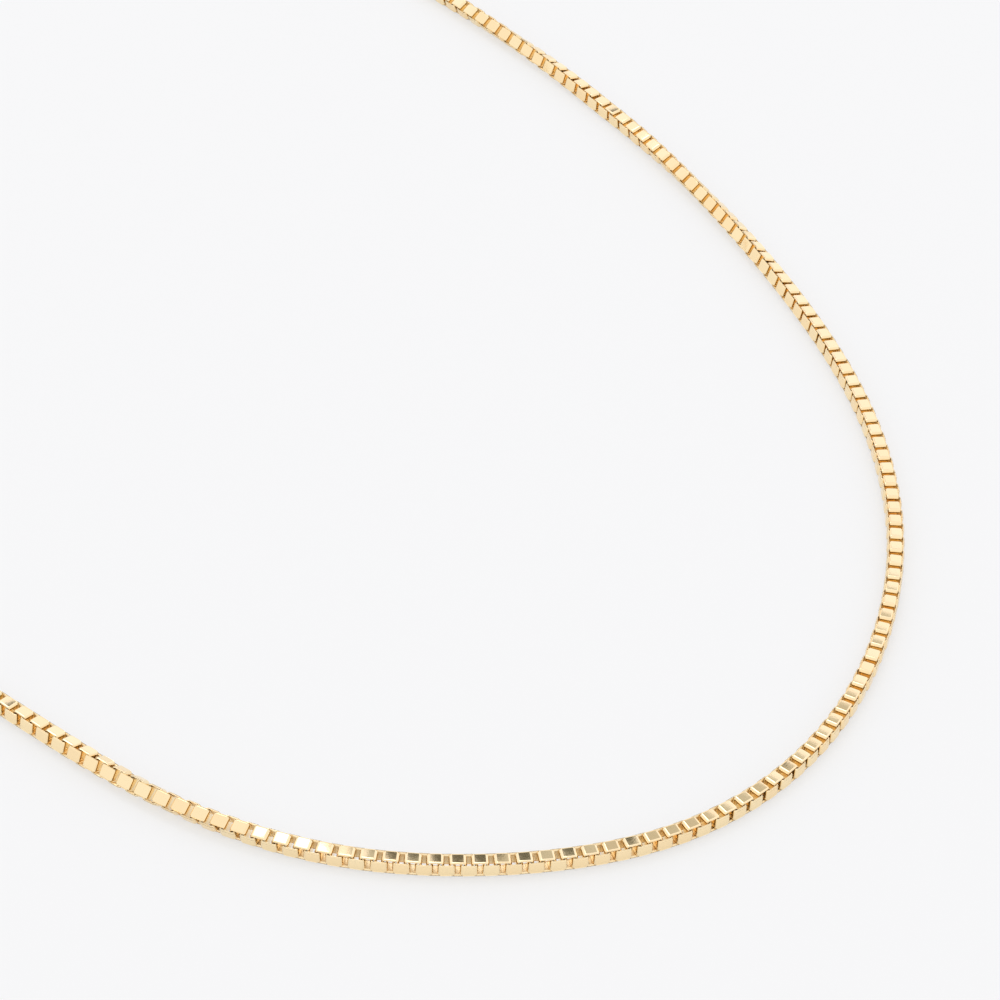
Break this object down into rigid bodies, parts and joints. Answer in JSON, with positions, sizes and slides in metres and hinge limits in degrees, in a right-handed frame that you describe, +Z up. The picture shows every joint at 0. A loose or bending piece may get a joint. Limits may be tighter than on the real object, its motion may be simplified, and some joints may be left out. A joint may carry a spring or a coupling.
{
  "type": "box chain necklace",
  "caption": "Fine gold box chain necklace lying closed in a long oval, with square interlocking links, jump rings and a barrel clasp.",
  "frame": {"origin": "middle of the chain's oval, on the surface that it lies on", "axes": "+Z up from the surface, +Y from the front of the necklace to its clasp, +X towards its right side seen from above with the clasp away"},
  "size_m": [0.0839, 0.1849, 0.0024],
  "materials": {
    "gold": "polished"
  },
  "bodies": {
    "root": {"chain_left": "gold", "chain_right": "gold", "end_link_left": "gold", "end_link_right": "gold", "ring_left": "gold", "ring_right": "gold", "clasp": "gold"}
  },
  "joints": []
}
